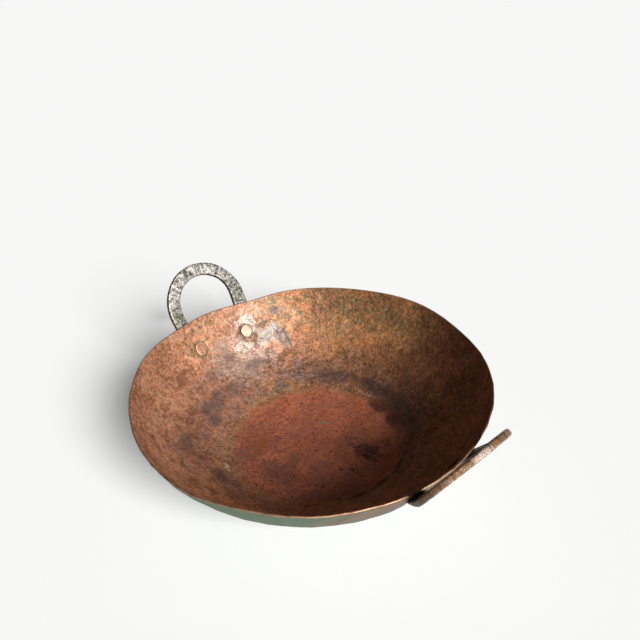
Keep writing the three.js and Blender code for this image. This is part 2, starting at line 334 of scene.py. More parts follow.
class BowlShape:
    """The bowl's section: a flat base, a knuckle off it and a bowed wall up to the lip."""

    def __init__(self, sizes):
        self.sheet = sizes.sheet
        self.rim = sizes.rim_diameter / 2
        self.height = sizes.height
        run = self.rim - sizes.base_diameter / 2
        chord = math.hypot(run, self.height)
        half_bend = 2 * math.atan(2 * sizes.wall_bow / chord)
        self.wall_radius = chord / (2 * math.sin(half_bend))
        self.lip_slope = math.atan2(self.height, run) + half_bend
        self.wall_x = self.rim - self.wall_radius * math.sin(self.lip_slope)
        self.wall_z = self.height + self.wall_radius * math.cos(self.lip_slope)
        self.knuckle_radius = sizes.knuckle_radius
        between = self.wall_radius - self.knuckle_radius
        self.knuckle_x = self.wall_x + math.sqrt(between**2 - (self.wall_z - self.knuckle_radius) ** 2)
        self.knuckle_slope = math.asin((self.knuckle_x - self.wall_x) / between)

    def section(self, radius, z):
        """The slope of the sheet at a place in its section, and how far in from its outside that is."""
        if radius <= self.knuckle_x:
            return 0.0, z
        slope = math.atan2(radius - self.knuckle_x, self.knuckle_radius - z)
        if slope <= self.knuckle_slope and z < self.knuckle_radius:
            return slope, self.knuckle_radius - math.hypot(radius - self.knuckle_x, self.knuckle_radius - z)
        slope = math.atan2(radius - self.wall_x, self.wall_z - z)
        return slope, self.wall_radius - math.hypot(radius - self.wall_x, self.wall_z - z)

    def inside(self, azimuth, radius):
        """The place on the inside at an azimuth in degrees and a radius in metres."""
        turn = math.radians(azimuth)
        z = self.sheet
        if radius > self.knuckle_x:
            reach = self.knuckle_radius - self.sheet
            if radius <= self.knuckle_x + reach * math.sin(self.knuckle_slope):
                z = self.knuckle_radius - math.sqrt(reach**2 - (radius - self.knuckle_x) ** 2)
            else:
                reach = self.wall_radius - self.sheet
                z = self.wall_z - math.sqrt(reach**2 - (radius - self.wall_x) ** 2)
        return Vector((radius * math.cos(turn), radius * math.sin(turn), z))

    def inside_frame(self, azimuth, radius, tilt):
        """A frame on the inside: X along the lip, Y up the wall, both turned by tilt, and Z inwards."""
        point = self.inside(azimuth, radius)
        slope = self.section(radius, point.z)[0]
        turn = math.radians(azimuth)
        along = Vector((-math.sin(turn), math.cos(turn), 0.0))
        away = Vector((math.cos(turn), math.sin(turn), 0.0))
        up = away * math.cos(slope) + Vector((0.0, 0.0, math.sin(slope)))
        axes = Matrix((along, up, along.cross(up))).transposed()
        return point, axes @ Matrix.Rotation(math.radians(tilt), 3, "Z")

    def seat(self, side, drop):
        """A place on the outside near +X and the way that the wall faces there."""
        slope = self.lip_slope - drop / self.wall_radius
        radius = self.wall_x + self.wall_radius * math.sin(slope)
        turn = math.asin(side / radius)
        outward = Vector(
            (math.sin(slope) * math.cos(turn), math.sin(slope) * math.sin(turn), -math.cos(slope))
        )
        z = self.wall_z - self.wall_radius * math.cos(slope)
        return Vector((radius * math.cos(turn), radius * math.sin(turn), z)), outward

    def rivet_seat(self, form):
        """The frame of a rivet: its origin on the outside of the wall and its Z axis outwards."""
        foot = getattr(form.handle, form.foot)
        point, outward = self.seat(foot.side, foot.drop)
        across = Vector((0.0, 0.0, 1.0)).cross(outward).normalized()
        up = outward.cross(across)
        axes = Matrix((across, up, outward)).transposed().to_4x4()
        return Matrix.Rotation(form.handle.turn, 4, "Z") @ Matrix.Translation(point) @ axes


def finished_piece(bm, name, materials, nodes):
    """Turns a bmesh into a piece that rides on the pan and stands for its CAD nodes."""
    mesh = bpy.data.meshes.new(name)
    bm.to_mesh(mesh)
    bm.free()
    mesh.shade_smooth()
    for material in materials:
        mesh.materials.append(material)
    piece = bpy.data.objects.new(name, mesh)
    bpy.context.scene.collection.objects.link(piece)
    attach(piece, "root")
    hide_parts(*nodes)
    return piece


class Wire:
    """A shader socket that takes part in Python arithmetic. Each operation adds a Math node."""

    def __init__(self, finish, socket):
        self.finish = finish
        self.socket = socket

    def math(self, operation, first, second):
        """The result of a Math node."""
        return self.finish.node("ShaderNodeMath", {"operation": operation}, {0: first, 1: second})

    def __add__(self, other):
        return self.math("ADD", self, other)

    __radd__ = __add__

    def __sub__(self, other):
        return self.math("SUBTRACT", self, other)

    def __rsub__(self, other):
        return self.math("SUBTRACT", other, self)

    def __mul__(self, other):
        return self.math("MULTIPLY", self, other)

    __rmul__ = __mul__


class Finish:
    """A material in the making: its shader, and the nodes that feed it."""

    def __init__(self, name):
        self.material = bpy.data.materials.new(name)
        self.material.use_nodes = True
        self.tree = self.material.node_tree
        self.shader = self.tree.nodes["Principled BSDF"]

    @cached_property
    def place(self):
        """Object coordinates."""
        return self.node("ShaderNodeTexCoord", {}, {}, "Object")

    def node(self, kind, settings, sockets, output=0):
        """Adds a node, with its settings first, then the values or links of its sockets."""
        node = self.tree.nodes.new(kind)
        for name, value in settings.items():
            setattr(node, name, value)
        self.feed(node, sockets)
        return Wire(self, node.outputs[output])

    def feed(self, node, sockets):
        """Links or sets a node's sockets."""
        for name, value in sockets.items():
            if isinstance(value, Wire):
                self.tree.links.new(value.socket, node.inputs[name])
            else:
                node.inputs[name].default_value = value

    def dressed(self, sockets):
        """Feeds the shader and returns the finished material."""
        self.feed(self.shader, sockets)
        return self.material

    def trait(self, name):
        """A number that the mesh keeps for each vertex."""
        return self.node("ShaderNodeAttribute", {"attribute_name": name}, {}, "Fac")

    def noise(self, size, detail, roughness, seed, at=None):
        """Noise of a size in metres, from 0 to 1."""
        sockets = {
            "Vector": at or self.place,
            "W": seed,
            "Scale": 1.0 / size,
            "Detail": detail,
            "Roughness": roughness,
        }
        return self.node("ShaderNodeTexNoise", {"noise_dimensions": "4D"}, sockets, "Fac")

    def cells(self, size, feature, at=None):
        """Distance in a pattern of cells of a size in metres, as seen from above."""
        settings = {"voronoi_dimensions": "2D", "feature": feature}
        sockets = {"Vector": at or self.place, "Scale": 1.0 / size}
        return self.node("ShaderNodeTexVoronoi", settings, sockets, "Distance")

    def fade(self, value, low, high):
        """0 at low, 1 at high and smooth between. Low may be the larger."""
        settings = {"interpolation_type": "SMOOTHSTEP"}
        return self.node("ShaderNodeMapRange", settings, {0: value, 1: low, 2: high, 3: 0.0, 4: 1.0})

    def blend(self, first, second, factor):
        """Mixes two colours."""
        settings = {"data_type": "RGBA", "clamp_factor": True}
        return self.node("ShaderNodeMix", settings, {0: factor, 6: solid(first), 7: solid(second)}, 2)

    def shaded(self, tone, factor):
        """Multiplies a colour by a number, to lighten or darken it."""
        grey = self.node("ShaderNodeCombineColor", {}, {"Red": factor, "Green": factor, "Blue": factor})
        settings = {"data_type": "RGBA", "blend_type": "MULTIPLY"}
        return self.node("ShaderNodeMix", settings, {0: 1.0, 6: tone, 7: grey}, 2)

    def vector(self, operation, first, second, output="Vector"):
        """Vector arithmetic."""
        return self.node("ShaderNodeVectorMath", {"operation": operation}, {0: first, 1: second}, output)

    def size_of(self, vector):
        """The length of a vector."""
        return self.vector("LENGTH", vector, (0.0, 0.0, 0.0), "Value")

    def wandering(self, size, reach, seed):
        """Object coordinates pushed about by noise, so that edges drawn on them wander."""
        settings = {"noise_dimensions": "4D"}
        sockets = {"Vector": self.place, "W": seed, "Scale": 1.0 / size, "Detail": 4.0}
        push = self.node("ShaderNodeTexNoise", settings, sockets, "Color")
        centred = self.vector("SUBTRACT", push, (0.5, 0.5, 0.5))
        return self.vector("ADD", self.place, self.vector("MULTIPLY", centred, (reach,) * 3))

    def oval(self, centre, axes, spread, at):
        """0 at the middle of an oval place on the given axes, and 1 on its edge."""
        offset = self.vector("SUBTRACT", at, centre)
        reaches = [
            self.vector("DOT_PRODUCT", offset, axis / size, "Value") for axis, size in zip(axes.col, spread)
        ]
        return self.size_of(self.node("ShaderNodeCombineXYZ", {}, dict(zip("XYZ", reaches))))

    def towards(self, azimuth, near, far):
        """0 nearer than near and 1 past far, measured from the middle of the pan towards an azimuth."""
        turn = math.radians(azimuth)
        way = (math.cos(turn), math.sin(turn), 0.0)
        return self.fade(self.vector("DOT_PRODUCT", self.place, way, "Value"), near, far)

    def bump(self, height, distance, below=None):
        """Relief from a height, on top of other relief."""
        sockets = {"Height": height, "Strength": 1.0, "Distance": distance}
        if below:
            sockets["Normal"] = below
        return self.node("ShaderNodeBump", {}, sockets)


def solid(tone):
    """A colour with full alpha, for a shader socket. A wire stays as it is."""
    return tone if isinstance(tone, Wire) else (*tone, 1.0)


class Stain(NamedTuple):
    """A mark inside the bowl: tone, strength, azimuth, radius, reach along and up, tilt and raggedness."""

    tone: str
    strength: float
    azimuth: float
    radius: float
    along: float
    up: float
    tilt: float = 0.0
    ragged: float = 1.0


# A stain that is this ragged breaks up into loose loops.
LOOPED = 2.5
# Metres: under this a stain keeps neat edges, then how deep a stain goes and the ring of grime and painted
# shade round a rivet.
SMALL_STAIN = 0.006
STAIN_DEPTH = 0.02
DIRT_AND_SHADE_RADIUS = 0.0067
FLATTENED = (1.0, 1.0, 0.0)
STAINS = (
    Stain("haze", 0.6, 176.0, 0.150, 0.075, 0.046, 0.0, 2.2),
    # The two pale patches by the rivets: painted highlight over a chalky film.
    Stain("chalk_and_sheen", 0.65, 168.5, 0.175, 0.022, 0.014, 0.0, 1.7),
    Stain("chalk_and_sheen", 0.4, 172.0, 0.157, 0.016, 0.010, 0.0, 1.6),
    Stain("brown", 0.6, 145.5, 0.163, 0.010, 0.013),
    # The grey ridges by the pale rivet: one limb darker as painted shade, the others paler as painted light.
    Stain("grey_ridge_shaded", 0.85, 153.4, 0.1555, 0.0125, 0.023, -20.0, 0.5),
    Stain("grey_ridge_lit", 0.85, 160.2, 0.1612, 0.0090, 0.017, 44.0, 0.5),
    Stain("grey_ridge_lit", 0.7, 156.2, 0.1660, 0.0085, 0.007, 0.0, 0.5),
    Stain("salmon", 0.9, 156.9, 0.147, 0.010, 0.011, 0.0, 0.7),
    # Dark lines of painted shade in the creases round the ridges.
    Stain("crevice_shade_and_dirt", 0.7, 151.2, 0.1545, 0.0018, 0.023, -20.0, 0.5),
    Stain("crevice_shade_and_dirt", 0.7, 166.0, 0.160, 0.0040, 0.014, 20.0, 0.7),
    Stain("crevice_shade_and_dirt", 0.7, 160.8, 0.1700, 0.015, 0.0034, -14.0, 0.7),
    Stain("crevice_shade_and_dirt", 0.85, 159.6, 0.1568, 0.0060, 0.0012, -40.0, 0.4),
    Stain("violet", 0.95, 154.9, 0.177, 0.0075, 0.0070, 0.0, 0.4),
    Stain("violet", 0.8, 171.0, 0.139, 0.018, 0.010),
    Stain("violet", 0.7, 181.0, 0.153, 0.012, 0.010),
    Stain("olive", 0.7, 176.4, 0.1538, 0.009, 0.0030, 0.0, 0.5),
    Stain("pale", 0.95, 175.2, 0.1577, 0.0080, 0.0058, -10.0, 0.4),
    Stain("pale", 0.9, 169.8, 0.1560, 0.0068, 0.0052, 10.0, 0.4),
    Stain("olive", 0.6, 197.0, 0.172, 0.009, 0.008),
    Stain("violet", 0.6, 190.0, 0.126, 0.022, 0.012),
    Stain("violet", 0.7, 206.0, 0.125, 0.020, 0.016),
    Stain("violet", 0.45, 196.0, 0.147, 0.020, 0.012),
    Stain("violet", 0.85, 213.4, 0.1325, 0.018, 0.011),
    Stain("violet", 0.85, 215.5, 0.1195, 0.018, 0.011),
    Stain("violet", 0.7, 200.9, 0.1325, 0.014, 0.010),
    Stain("violet", 0.8, 237.8, 0.140, 0.016, 0.013),
    Stain("violet", 0.6, 243.2, 0.1433, 0.014, 0.014),
    Stain("dark", 0.6, 247.2, 0.172, 0.006, 0.006),
    Stain("brown", 0.7, 207.9, 0.164, 0.015, 0.010),
    Stain("dark", 0.6, 259.0, 0.116, 0.016, 0.012),
    Stain("pale", 0.5, 251.6, 0.103, 0.010, 0.005),
    Stain("rust", 0.65, 229.0, 0.062, 0.026, 0.018),
    Stain("mint", 0.9, 119.5, 0.0335, 0.0100, 0.0028, 0.0, 0.5),
    Stain("maroon", 0.6, 33.0, 0.060, 0.018, 0.020, 0.0, 1.5),
    Stain("dark", 0.45, 46.0, 0.042, 0.011, 0.010, 0.0, LOOPED),
    Stain("dark", 0.70, 30.0, 0.057, 0.016, 0.015, 0.0, LOOPED),
    Stain("dark", 0.70, 27.0, 0.069, 0.014, 0.014, 0.0, LOOPED),
    Stain("dark", 0.70, 42.0, 0.077, 0.015, 0.010, 40.0, LOOPED),
    Stain("rose", 0.6, 12.0, 0.084, 0.016, 0.010),
    Stain("dark", 0.75, 346.0, 0.0965, 0.017, 0.0045, 0.0, 0.8),
    Stain("dark", 0.80, 3.0, 0.0990, 0.017, 0.0048, 0.0, 0.8),
    Stain("dark", 0.75, 20.0, 0.1020, 0.017, 0.0050, 0.0, 0.8),
    Stain("maroon", 0.3, 272.6, 0.066, 0.016, 0.009),
    Stain("maroon", 0.25, 285.0, 0.055, 0.030, 0.020),
    Stain("maroon", 0.85, 84.0, 0.094, 0.020, 0.008),
    Stain("maroon", 0.85, 66.0, 0.096, 0.016, 0.010),
    Stain("salmon", 0.6, 100.0, 0.100, 0.016, 0.004, 0.0, 1.3),
    Stain("dark", 0.2, 30.0, 0.106, 0.060, 0.016),
    Stain("dark", 0.5, 68.0, 0.110, 0.055, 0.020),
    Stain("dark", 0.45, 97.0, 0.111, 0.050, 0.011),
    Stain("dark", 0.4, 122.0, 0.113, 0.055, 0.011),
    Stain("dark", 0.35, 355.0, 0.099, 0.045, 0.010),
    Stain("brown", 0.35, 318.0, 0.102, 0.055, 0.012),
    Stain("dark", 0.8, 253.0, 0.0625, 0.0016, 0.0016, 0.0, 0.4),
    Stain("dark", 0.8, 190.0, 0.054, 0.0018, 0.0014, 0.0, 0.4),
    Stain("dark", 0.8, 207.0, 0.043, 0.0014, 0.0014, 0.0, 0.4),
    Stain("dark", 0.8, 152.0, 0.070, 0.0022, 0.0022, 0.0, 0.4),
    Stain("dark", 0.8, 292.0, 0.070, 0.0020, 0.0016, 0.0, 0.4),
    Stain("maroon", 0.9, 0.0, 0.0620, 0.0020, 0.0050, 0.0, 0.9),
    Stain("maroon", 0.9, 351.0, 0.0530, 0.0020, 0.0045, 0.0, 0.9),
)


class InsideFinish(Finish):
    """The finish of the inside, with the noises and the masks by place that its tones share."""

    def __init__(self, tones):
        super().__init__("inside_copper")
        self.tones = tones
        self.ragged = self.wandering(0.008, 0.011, 9.0)
        self.neat = self.wandering(0.004, 0.0035, 12.0)
        self.loose = self.wandering(0.022, 0.010, 4.0)
        self.radius = self.size_of(self.vector("MULTIPLY", self.loose, FLATTENED))
        self.broad = self.noise(0.060, 3.0, 0.5, 1.0)
        self.mottle = self.noise(0.019, 7.0, 0.66, 2.0)
        self.blotch = self.noise(0.010, 6.0, 0.64, 3.0)
        self.patches = self.noise(0.026, 6.0, 0.64, 11.0)
        self.grain = self.noise(0.0032, 5.0, 0.66, 5.0)
        self.specks = self.noise(0.0075, 7.0, 0.72, 6.0)
        self.streaks = self.swept(7.0, 0.60, 10.0)
        self.combed = self.swept(20.0, 0.62, 15.0)
        self.breakup = 1.1 * (self.blotch - 0.5) + 1.3 * (self.grain - 0.5)
        self.high = self.fade(self.radius, 0.135, 0.180)
        self.back = self.towards(112.0, 0.08, 0.16)
        self.left = self.towards(218.0, 0.05, 0.14)
        self.right = self.towards(30.0, 0.05, 0.15)
        self.near = self.towards(285.0, -0.02, 0.06)
        # The front of the wall, which lies in shade; painted light lifts it below.
        self.shady = self.towards(335.0, 0.0, 0.10)
        edge = self.radius + 0.022 * (self.blotch - 0.5) + 0.020 * (self.grain - 0.5)
        self.base = self.fade(edge - 0.005 * self.shady, 0.100, 0.087)
        pits = self.fade(self.noise(0.0042, 2.0, 0.5, 14.0) + 0.04 * self.near, 0.62, 0.68)
        self.pits = pits * self.fade(self.patches, 0.44, 0.54)

    def swept(self, stretch, roughness, seed):
        """Noise in strokes that run round the bowl."""
        flat = self.vector("MULTIPLY", self.place, FLATTENED)
        lift = self.node("ShaderNodeCombineXYZ", {}, {"Z": self.size_of(flat) * stretch})
        turned = self.vector("MULTIPLY", self.vector("NORMALIZE", flat, (0, 0, 0)), (0.15,) * 3)
        return self.noise(0.022, 5.0, roughness, seed, self.vector("ADD", turned, lift))

    def wall_tone(self):
        """The wall: cleaner copper over brown, with painted shade that darkens it towards the near handle.
        """
        tones = self.tones
        clear = self.fade(0.7 * self.mottle + 0.3 * self.grain + 0.7 * self.streaks, 0.72, 0.98)
        wall = self.blend(tones.brown, tones.wall, clear + 0.40 * self.left)
        rubbed = self.fade(self.blotch + 0.3 * self.grain, 0.62, 0.76)
        rubbed = rubbed * (1 - 0.7 * self.back - 0.3 * self.left)
        wall = self.blend(wall, tones.pink, rubbed * 0.75)
        clean = self.noise(0.019, 7.0, 0.68, 13.0) + 0.3 * self.broad + 0.06 * self.back
        cleaned = self.blend(tones.orange, tones.salmon, self.left)
        wall = self.blend(wall, cleaned, self.fade(clean, 0.64, 0.80) * 0.85)
        golden = self.back * (0.25 + 0.35 * self.fade(self.patches, 0.42, 0.60))
        wall = self.blend(wall, tones.amber, golden)
        bruised = self.fade(self.patches + 0.2 * self.grain, 0.62, 0.76) * (1 - 0.8 * self.high)
        wall = self.blend(wall, tones.violet, bruised * 0.8)
        green = self.specks + 0.5 * self.broad + 0.10 * self.high + 0.06 * self.back
        wall = self.blend(wall, tones.olive, self.fade(green, 0.78, 0.98) * (0.8 - 0.4 * self.left))
        # Painted shade: the right of the wall, away from the light, is darkened with umber.
        dull = self.right * (0.55 + 0.45 * self.fade(self.mottle, 0.62, 0.40))
        wall = self.blend(wall, tones.umber, dull)
        streaked = self.right * self.fade(self.patches + 0.3 * self.grain, 0.64, 0.80)
        wall = self.blend(wall, tones.brick, streaked * 0.6)
        return self.wall_shade(wall)

    def wall_shade(self, wall):
        """Darkens the low wall, paints light on the front wall that lies in shade, lightens the low left
        wall, tones down the glare with painted shade, and makes the whole wall uneven.
        """
        low = self.fade(self.radius, 0.166, 0.130)
        deep = self.fade(self.radius, 0.130, 0.110)
        glare = self.towards(150.0, 0.11, 0.165) * self.high
        # Painted light on the shaded front wall, painted shade where the glare is strongest.
        shade = 1 - 0.34 * low * (1 - 0.8 * self.shady) + 0.42 * self.left * deep - 0.18 * glare
        wall = self.shaded(wall, shade + 0.35 * self.shady * (1 - self.right))
        uneven = self.fade(0.6 * self.patches + 0.4 * self.broad, 0.38, 0.62)
        return self.shaded(wall, 0.80 + 0.12 * self.left + 0.44 * uneven)

    def base_tone(self):
        """The base: rosy copper with rust and dull pink, in strokes that run round it, with painted light
        towards the back and painted shade towards the front.
        """
        tones = self.tones
        # Painted shade: the front of the base, shaded by the wall, turns to the deeper red.
        front = self.towards(345.0, -0.03, 0.07)
        clear = self.fade(self.mottle + 0.25 * self.grain + 0.6 * self.streaks, 0.72, 1.18)
        red = self.blend(tones.base_deep, tones.base_red, clear * (1 - 0.3 * front))
        rusty = self.fade(self.patches + 0.3 * self.broad, 0.62, 0.80) * (1 - self.near)
        red = self.blend(red, tones.rust, rusty * 0.45)
        rosy = self.fade(self.patches, 0.58, 0.42) * (0.35 + 0.5 * self.near)
        red = self.blend(red, tones.rose, rosy)
        # Painted light towards the back of the base and painted shade towards the front-left.
        lit = self.towards(125.0, -0.02, 0.07) - 0.5 * self.towards(275.0, 0.0, 0.06)
        worked = 0.20 * self.fade(self.combed + 0.4 * self.grain, 0.50, 0.90)
        worked = worked + 0.30 * self.fade(self.patches, 0.38, 0.62)
        return self.shaded(red, 0.78 + worked + 0.18 * lit)

    def ringed(self, tone):
        """Adds golden flecks round the base and a violet band above them."""
        ring = self.fade(self.radius, 0.084, 0.093) * self.fade(self.radius, 0.108, 0.096)
        ring = ring * self.fade(self.grain + 0.5 * self.blotch, 0.68, 0.86)
        ring = ring * (1 - 0.8 * self.towards(50.0, 0.02, 0.07))
        tone = self.blend(tone, self.tones.ochre, ring * 0.85)
        band = self.fade(self.radius, 0.098, 0.107) * self.fade(self.radius, 0.136, 0.113)
        band = band * self.fade(self.blotch + 0.5 * self.mottle, 0.64, 0.86) * (1 - 0.5 * self.left)
        return self.blend(tone, self.tones.violet, band * 0.75)

    def stained(self, tone, shape):
        """Adds the stains, some of them painted light and shade, then the rings of grime and painted shade
        round the rivets.
        """
        curl = self.noise(0.0052, 5.0, 0.70, 16.0) - 0.5
        loops = self.fade(curl * curl, 0.0070, 0.0012)
        for mark in STAINS:
            centre, axes = shape.inside_frame(mark.azimuth, mark.radius, mark.tilt)
            at = self.neat if min(mark.along, mark.up) < SMALL_STAIN else self.ragged
            spread = (mark.along, mark.up, STAIN_DEPTH)
            inner = self.fade(self.oval(centre, axes, spread, at), 1.15, 0.25)
            if mark.ragged == LOOPED:
                patch_share = self.fade(inner + 1.6 * self.breakup, 0.30, 0.60) * loops
            else:
                full = 0.65 if mark.ragged < 1 else 0.95
                patch_share = self.fade(inner + mark.ragged * self.breakup, 0.25, full)
            tone = self.blend(tone, getattr(self.tones, mark.tone), patch_share * mark.strength)
        # Rings round the rivets: tarnish on one, painted shade in the creases of the others.
        for form in RIVETS:
            seat = shape.rivet_seat(form)
            centre = seat @ Vector((0.0, 0.0, -shape.sheet))
            axes = seat.to_3x3() @ Matrix.Rotation(math.radians(form.turn), 3, "Z")
            spread = (DIRT_AND_SHADE_RADIUS * form.wide, DIRT_AND_SHADE_RADIUS * form.tall, STAIN_DEPTH)
            dirt_and_shade = self.oval(centre, axes, spread, self.neat)
            dirt_and_shade_share = self.fade(dirt_and_shade + 0.5 * self.breakup, 1.55, 1.15)
            tone = self.blend(tone, getattr(self.tones, form.dirt_and_shade), dirt_and_shade_share * 0.9)
        return tone

    def specked(self, tone):
        """Adds pits and cracks on the base, black specks all over and a fine grain."""
        tone = self.blend(tone, self.tones.maroon, self.pits * self.base * 0.85)
        cracks = self.fade(self.cells(0.0065, "DISTANCE_TO_EDGE", self.loose), 0.09, 0.0)
        cracks = cracks * self.fade(self.patches, 0.46, 0.58)
        tone = self.blend(tone, self.tones.maroon, cracks * self.base * 0.6)
        rivet_side = self.towards(172.0, 0.11, 0.16) * self.high
        scale = self.fade(self.noise(0.0020, 3.0, 0.55, 8.0), 0.55, 0.68)
        scale = scale * self.fade(self.blotch - 0.12 * rivet_side, 0.60, 0.44)
        tone = self.blend(tone, self.tones.dark, scale * (0.5 + 0.35 * rivet_side))
        fine = self.fade(self.grain, 0.38, 0.62) * (0.54 - 0.30 * self.base + 0.12 * self.high)
        return self.shaded(tone, 0.71 + 0.15 * self.base - 0.06 * self.high + fine)


def inside_copper(shape, tones):
    """The inside: rubbed copper, redder on the base, with tarnish in specks, rings and stains, and painted
    light and shade.
    """
    finish = InsideFinish(tones)
    tone = finish.blend(finish.wall_tone(), finish.base_tone(), finish.base)
    tone = finish.specked(finish.stained(finish.ringed(tone), shape))
    film = finish.fade(finish.blotch + 0.4 * finish.grain, 0.55, 0.85)
    film = film * (1 - 0.7 * finish.base) * (0.45 - 0.3 * finish.back)
    relief = finish.bump(finish.grain, 0.0008)
    relief = finish.bump(finish.blotch, 0.0016, relief)
    relief = finish.bump(finish.pits, -0.0006, relief)
    sockets = {
        "Base Color": tone,
        "Roughness": 0.36 + 0.25 * finish.mottle + 0.10 * finish.base,
        "Metallic": 0.45,
        "Coat Weight": film,
        "Coat Roughness": 0.34,
        "Normal": relief,
    }
    return finish.dressed(sockets)


def outside_copper(tones):
    """The outside: brown copper under a pale green film that the years left in patches and rings."""
    finish = Finish("outside_copper")
    turned = finish.vector("MULTIPLY", finish.place, (1.0, 1.0, 6.0))
    broad = finish.noise(0.070, 4.0, 0.55, 21.0)
    mottle = finish.noise(0.016, 6.0, 0.62, 22.0)
    rings = finish.noise(0.030, 5.0, 0.6, 24.0, turned)
    grain = finish.noise(0.003, 4.0, 0.6, 23.0)
    copper = finish.blend(tones.outside_brown, tones.wall, finish.fade(mottle, 0.48, 0.70) * 0.5)
    sides = 0.5 * finish.towards(275.0, 0.10, 0.165) - 0.2 * finish.towards(320.0, 0.15, 0.18)
    film = finish.fade(broad + 0.5 * mottle + 0.6 * rings + sides, 0.86, 1.18)
    tone = finish.blend(copper, tones.verdigris, film * 0.92)
    tone = finish.blend(tone, tones.dark, finish.fade(grain, 0.42, 0.30) * 0.4)
    tone = finish.shaded(tone, 0.60 + 0.5 * grain)
    rough = 0.5 + 0.3 * film
    relief = finish.bump(mottle, 0.0012, finish.bump(grain, 0.0006))
    return finish.dressed({"Base Color": tone, "Roughness": rough, "Normal": relief, "Metallic": 0.25})


def lip_copper(tones):
    """The lip: copper that handling keeps bare, with tarnish in its nicks."""
    finish = Finish("lip_copper")
    mottle = finish.noise(0.012, 5.0, 0.6, 31.0)
    grain = finish.noise(0.0026, 4.0, 0.6, 32.0)
    tone = finish.blend(tones.lip, tones.brown, finish.fade(mottle, 0.47, 0.63) * 0.8)
    tone = finish.blend(tone, tones.umber, finish.towards(45.0, 0.12, 0.17) * 0.8)
    tone = finish.shaded(tone, 0.7 + 0.6 * grain)
    rough = 0.32 + 0.25 * mottle
    relief = finish.bump(grain, 0.0005)
    return finish.dressed({"Base Color": tone, "Roughness": rough, "Normal": relief, "Metallic": 0.7})


def forged_bronze(tones):
    """The handles: grey bronze with scale in its hammer marks and rubbed corners, with a painted sheen on
    the faces, a painted highlight on the right handle and painted shade on the left handle's sides.
    """
    finish = Finish("forged_bronze")
    edge = finish.trait("edge")
    hollow = finish.trait("hollow")
    leg = finish.trait("leg")
    along = finish.trait("along")
    across = finish.trait("across")
    strap = finish.node("ShaderNodeCombineXYZ", {}, {"X": along, "Y": 0.45 * across})
    # Near is the right handle, on the side of the light.
    near = finish.towards(0.0, -0.05, 0.05)
    mottle = finish.noise(0.008, 5.0, 0.62, 41.0)
    grain = finish.noise(0.0022, 4.0, 0.65, 42.0)
    strokes = finish.noise(0.0042, 4.0, 0.62, 43.0, strap)
    tone = finish.blend(tones.bronze, tones.bronze_green, leg * finish.fade(mottle, 0.25, 0.50))
    scale = finish.fade(0.35 * hollow + 0.6 * mottle + strokes, 0.88, 1.00)
    tone = finish.blend(tone, tones.bronze_dark, scale * 0.9)
    # Rubbed corners: copper with a painted sheen.
    rubbed = finish.fade(edge, 0.70, 0.78) * finish.fade(edge, 0.93, 0.87)
    tone = finish.blend(tone, tones.bronze_rub_and_sheen, rubbed * finish.fade(mottle, 0.42, 0.58) * 0.8)
    # The legs of the right handle are darkened.
    tone = finish.blend(tone, tones.bronze_soot_and_shade, leg * near * 0.4)
    sides = finish.fade(edge + 0.02 * mottle, 0.90, 0.94)
    # The pale strokes on the faces are partly a painted highlight on the hammer marks.
    tone = finish.shaded(tone, 0.22 + 1.35 * finish.fade(strokes + 0.5 * grain, 0.60, 0.92))
    # Painted sheen: pale mottling on the lit side of the right handle.
    side = finish.blend(tones.bronze_side, tones.bronze_rub_and_sheen, finish.fade(mottle, 0.54, 0.66) * 0.6)
    # Painted highlight: a pale patch on the lit side of the right handle.
    patch_share = finish.towards(90.0, -0.028, -0.018) * (1 - finish.towards(90.0, -0.010, -0.002))
    side = finish.blend(side, tones.bronze_highlight, patch_share * 0.75)
    side = finish.shaded(side, 0.6 + 0.7 * finish.fade(strokes + 0.5 * grain, 0.58, 0.94))
    # Painted shade: the sides of the left handle, away from the light, go dark.
    side = finish.blend(tones.bronze_soot_and_shade, side, near * (1 - 0.65 * leg))
    tone = finish.blend(tone, side, sides)
    rough = 0.26 + 0.2 * mottle + 0.2 * scale + 0.1 * sides
    relief = finish.bump(grain, 0.0010)
    relief = finish.bump(strokes, 0.0016, relief)
    return finish.dressed({"Base Color": tone, "Roughness": rough, "Normal": relief, "Metallic": 0.6})


def rivet_copper(tones, face):
    """A rivet: a hammered head of one tone, with tarnish round its edge."""
    finish = Finish(f"{face}_copper")
    reach = finish.trait("reach")
    mottle = finish.noise(0.005, 5.0, 0.6, 51.0)
    grain = finish.noise(0.0015, 4.0, 0.6, 52.0)
    tarnish = finish.fade(mottle + 0.3 * grain, 0.62, 0.82) * 0.6
    tone = finish.blend(getattr(tones, face), tones.bronze_side, tarnish)
    rim = finish.fade(reach + 0.25 * mottle, 1.13, 1.20)
    tone = finish.blend(tone, tones.rivet_dark, rim)
    tone = finish.shaded(tone, 0.75 + 0.5 * grain)
    rough = 0.30 + 0.25 * mottle
    relief = finish.bump(grain, 0.0006)
    return finish.dressed({"Base Color": tone, "Roughness": rough, "Normal": relief, "Metallic": 0.7})


def pale_floor(stage):
    """The floor: matt and pale, with a glow that keeps it even."""
    finish = Finish("pale_floor")
    sockets = {
        "Base Color": solid(stage.floor_colour),
        "Roughness": 0.9,
        "Specular IOR Level": 0.0,
        "Emission Color": solid(stage.floor_glow),
        "Emission Strength": 1.0,
    }
    return finish.dressed(sockets)


MERGE_REACH = 1e-6


def chain_line(bm, vert, end, steps):
    """Extrudes a vertex in equal steps to an end point, and returns the last one."""
    step = (Vector(end) - vert.co) / steps
    for _ in range(steps):
        vert = bmesh.ops.extrude_vert_indiv(bm, verts=[vert])["verts"][0]
        bmesh.ops.translate(bm, verts=[vert], vec=step)
    return vert


